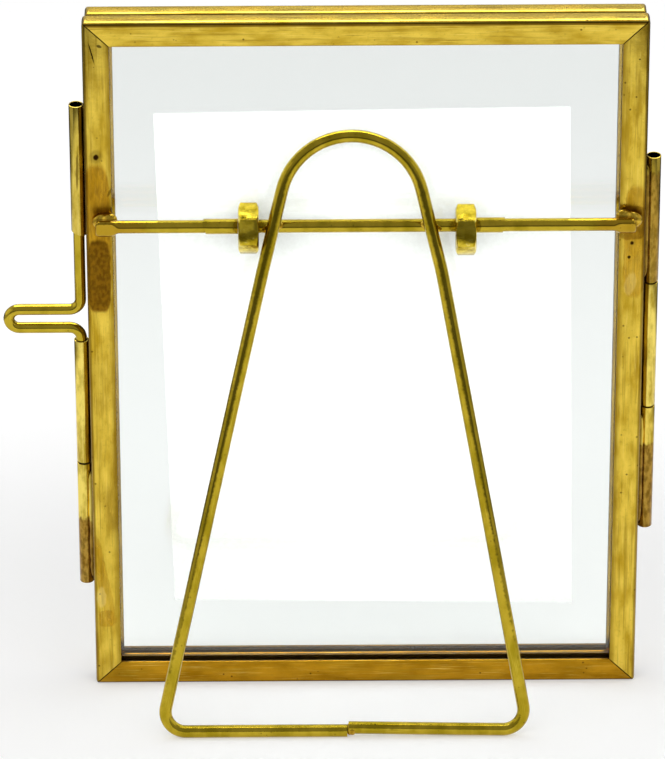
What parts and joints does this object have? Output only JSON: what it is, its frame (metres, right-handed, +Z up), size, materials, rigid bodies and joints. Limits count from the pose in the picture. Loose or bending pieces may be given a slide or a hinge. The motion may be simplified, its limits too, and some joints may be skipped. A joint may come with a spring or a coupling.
{
  "type": "hinged glass picture frame with wire easel",
  "caption": "Folded-brass picture frame with hinged glazed leaves, a side hinge, a slide latch with a finger loop and a bent-wire easel on a crossbar behind.",
  "frame": {"origin": "middle of the stand's footprint box, on the surface it stands on", "axes": "+Z up; +Y is the way the picture faces, so the easel is on the -Y side; +X is towards the hinge side"},
  "size_m": [0.1028, 0.0366, 0.1168],
  "materials": {
    "rail_brass": "folded sheet, hand rubbed, tarnished and heat stained at the soldered places",
    "tube_brass": "drawn tube, semi-bright, browned by the torch at its ends",
    "wire_brass": "drawn wire, olive gold, dull",
    "nut_brass": "turned hexagon, lightly dented",
    "window_glass": "clear polished pane",
    "card_paper": "plain white back of a print"
  },
  "bodies": {
    "rear_leaf": {"rear_rail_bottom": "rail_brass", "rear_rail_top": "rail_brass", "rear_rail_left": "rail_brass", "rear_rail_right": "rail_brass", "rear_glass": "window_glass", "picture_card": "card_paper", "hinge_tube_upper": "tube_brass", "hinge_tube_lower": "tube_brass", "hinge_pin": "wire_brass", "latch_tube_lower": "tube_brass", "crossbar_rod_left": "wire_brass", "crossbar_rod_right": "wire_brass", "ferrule_left": "tube_brass", "ferrule_right": "tube_brass", "pivot_nut_left": "nut_brass", "pivot_nut_right": "nut_brass"},
    "front_leaf": {"front_rail_bottom": "rail_brass", "front_rail_top": "rail_brass", "front_rail_left": "rail_brass", "front_rail_right": "rail_brass", "front_glass": "window_glass", "hinge_tube_middle": "tube_brass", "latch_tube_middle": "tube_brass", "latch_tube_upper": "tube_brass"},
    "latch": {"latch_pin": "wire_brass"},
    "easel": {"easel_wire": "wire_brass", "easel_spindle": "wire_brass"}
  },
  "joints": [
    {"name": "leaf_hinge", "type": "hinge", "parent": "rear_leaf", "child": "front_leaf", "pos_m": [0.05021, -0.00005, 0.05861], "axis": [0, 0.2588, -0.9659], "range_deg": [0, 180]},
    {"name": "latch_slide", "type": "slide", "parent": "front_leaf", "child": "latch", "axis": [0, -0.2588, 0.9659], "range_m": [0, 0.008]},
    {"name": "easel_hinge", "type": "hinge", "parent": "rear_leaf", "child": "easel", "pos_m": [0.00551, -0.0119, 0.08178], "axis": [1, 0, 0], "range_deg": [0, 18]}
  ]
}
